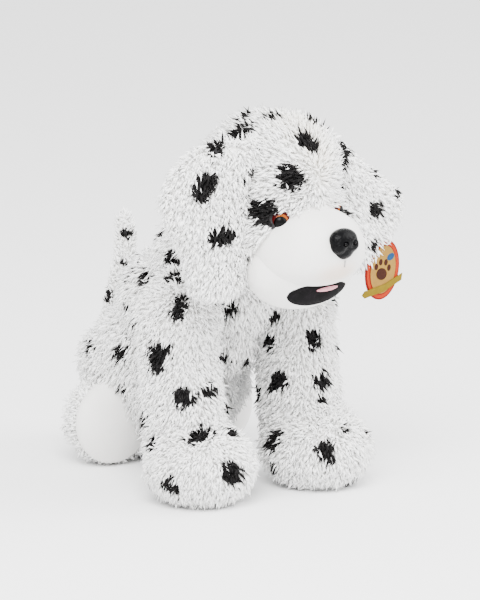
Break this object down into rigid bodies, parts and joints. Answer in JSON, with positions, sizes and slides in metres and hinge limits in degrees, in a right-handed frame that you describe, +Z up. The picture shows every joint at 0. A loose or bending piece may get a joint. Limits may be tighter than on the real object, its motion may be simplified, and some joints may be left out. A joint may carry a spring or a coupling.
{
  "type": "plush dog",
  "caption": "Sitting plush puppy with spotted long pile, smooth muzzle and soles, floppy ears, moulded nose and eyes, open mouth and a hang tag; the head, ears, legs and tail bend",
  "frame": {"origin": "on the flat seat under the torso, in its middle from side to side", "axes": "the dog's body looks along -Y, +X is the dog's left, +Z is up; the head is turned 12 degrees to the dog's left at rest"},
  "size_m": [0.2355, 0.3252, 0.2935],
  "materials": {
    "spotted_pile": "long shaggy off-white pile with ragged black spots",
    "smooth_pile": "very short smooth white pile",
    "stuffing": "white polyester fibre",
    "pellets": "woven pouch filled with plastic pellets",
    "black_plastic": "glossy moulded black",
    "washer": "plain moulded white",
    "pink_felt": "brushed pink felt",
    "black_felt": "brushed black felt",
    "card": "coated printed card",
    "loop_plastic": "thin clear-white plastic fastener"
  },
  "bodies": {
    "torso": {"torso_cover": "spotted_pile", "torso_stuffing": "stuffing", "pellet_pouch": "pellets"},
    "head": {"head_cover": "spotted_pile", "head_stuffing": "stuffing", "muzzle_cover": "smooth_pile", "muzzle_stuffing": "stuffing", "nose": "black_plastic", "nose_washer": "washer", "eye_left": "black_plastic", "eye_right": "black_plastic", "eye_washer_left": "washer", "eye_washer_right": "washer", "tongue": "pink_felt", "mouth_lining": "black_felt", "lower_jaw": "smooth_pile"},
    "ear_left": {"ear_left_outer": "spotted_pile", "ear_left_lining": "spotted_pile", "tag_loop": "loop_plastic"},
    "ear_right": {"ear_right_outer": "spotted_pile", "ear_right_lining": "spotted_pile"},
    "tag": {"hang_tag": "card"},
    "tail": {"tail_cover": "spotted_pile", "tail_stuffing": "stuffing"},
    "front_leg_left": {"front_leg_left_cover": "spotted_pile", "front_leg_left_stuffing": "stuffing"},
    "hind_leg_left": {"hind_leg_left_cover": "spotted_pile", "hind_leg_left_stuffing": "stuffing", "hind_sole_left": "smooth_pile"},
    "front_leg_right": {"front_leg_right_cover": "spotted_pile", "front_leg_right_stuffing": "stuffing"},
    "hind_leg_right": {"hind_leg_right_cover": "spotted_pile", "hind_leg_right_stuffing": "stuffing", "hind_sole_right": "smooth_pile"}
  },
  "joints": [
    {"name": "head_turn", "type": "hinge", "parent": "torso", "child": "head", "pos_m": [0, -0.164, 0.2425], "axis": [0, 0, 1], "range_deg": [-35, 12], "stiffness_Nm_per_rad": 0.4},
    {"name": "ear_left_lift", "type": "hinge", "parent": "head", "child": "ear_left", "pos_m": [0.0414, -0.1736, 0.2725], "axis": [0.2079, -0.9781, 0], "range_deg": [0, 60], "stiffness_Nm_per_rad": 0.12},
    {"name": "ear_right_lift", "type": "hinge", "parent": "head", "child": "ear_right", "pos_m": [-0.03392, -0.18961, 0.2725], "axis": [-0.2079, 0.9781, 0], "range_deg": [0, 60], "stiffness_Nm_per_rad": 0.12},
    {"name": "tag_swing", "type": "hinge", "parent": "ear_left", "child": "tag", "pos_m": [0.10389, -0.17177, 0.1849], "axis": [0.9781, 0.2079, 0], "range_deg": [-25, 5]},
    {"name": "front_leg_left_swing", "type": "hinge", "parent": "torso", "child": "front_leg_left", "pos_m": [0.053, -0.118, 0.13], "axis": [-1, 0, 0], "range_deg": [-12, 45], "stiffness_Nm_per_rad": 0.5},
    {"name": "front_leg_right_swing", "type": "hinge", "parent": "torso", "child": "front_leg_right", "pos_m": [-0.053, -0.118, 0.13], "axis": [-1, 0, 0], "range_deg": [-12, 45], "stiffness_Nm_per_rad": 0.5},
    {"name": "hind_leg_left_splay", "type": "hinge", "parent": "torso", "child": "hind_leg_left", "pos_m": [0.044, 0.004, 0.0325], "axis": [0, 0, 1], "range_deg": [0, 40], "stiffness_Nm_per_rad": 0.3},
    {"name": "hind_leg_right_splay", "type": "hinge", "parent": "torso", "child": "hind_leg_right", "pos_m": [-0.044, 0.004, 0.0325], "axis": [0, 0, -1], "range_deg": [0, 40], "stiffness_Nm_per_rad": 0.3},
    {"name": "tail_bend", "type": "hinge", "parent": "torso", "child": "tail", "pos_m": [0, 0.064, 0.03], "axis": [-1, 0, 0], "range_deg": [0, 60], "stiffness_Nm_per_rad": 0.08}
  ]
}
